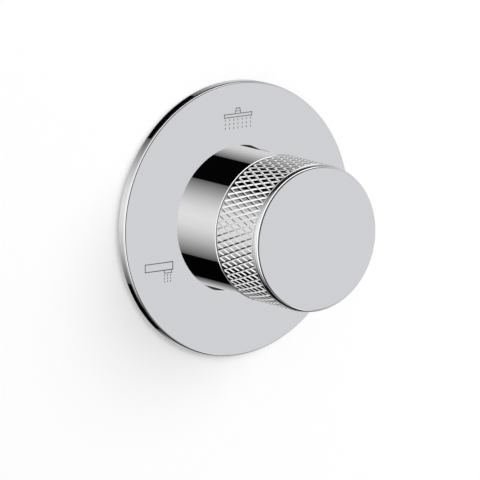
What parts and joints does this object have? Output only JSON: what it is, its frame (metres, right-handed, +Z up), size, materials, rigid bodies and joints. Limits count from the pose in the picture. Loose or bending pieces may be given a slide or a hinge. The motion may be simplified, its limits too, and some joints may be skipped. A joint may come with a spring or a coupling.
{
  "type": "shower diverter valve",
  "caption": "Concealed shower diverter with a round cover plate, smooth sleeve and diamond-knurled knob on a brass body with an inlet and outlets, chosen by a ceramic-disc cartridge.",
  "frame": {"origin": "on the knob's axis, in the finished wall's surface, which the cover plate's rear rim lies on", "axes": "+Z up, -Y out of the wall along the knob's axis, +Y into the wall, +X to the right for someone who faces the wall"},
  "size_m": [0.08, 0.0972, 0.08],
  "materials": {
    "chrome": "polished",
    "brass": "as machined",
    "steel": "blackened and plain stainless steel",
    "rubber": "matte black nitrile",
    "seal_red": "matte red silicone",
    "foam": "closed-cell foam",
    "plastic_white": "moulded acetal",
    "ceramic": "lapped alumina ceramic"
  },
  "bodies": {
    "fixed": {"valve_body": "brass", "cover_plate": "chrome", "sleeve": "chrome", "sleeve_o_rings": "rubber", "plate_o_ring": "rubber", "plate_gasket": "foam", "cartridge_nut": "brass", "cartridge_housing": "brass", "housing_o_ring": "rubber", "thrust_washer": "plastic_white", "fixed_ceramic_disc": "ceramic", "disc_seal": "seal_red", "cartridge_base": "plastic_white", "base_seals": "rubber"},
    "turning": {"knob": "chrome", "knob_set_screw": "steel", "knob_adaptor": "brass", "adaptor_screw": "steel", "spindle": "brass", "spindle_o_rings": "rubber", "spindle_clip": "steel", "drive_disc": "plastic_white", "moving_ceramic_disc": "ceramic"}
  },
  "joints": [
    {"name": "knob_turn", "type": "hinge", "parent": "fixed", "child": "turning", "pos_m": [0, 0, 0], "axis": [0, 1, 0], "range_deg": [-120, 120]}
  ]
}
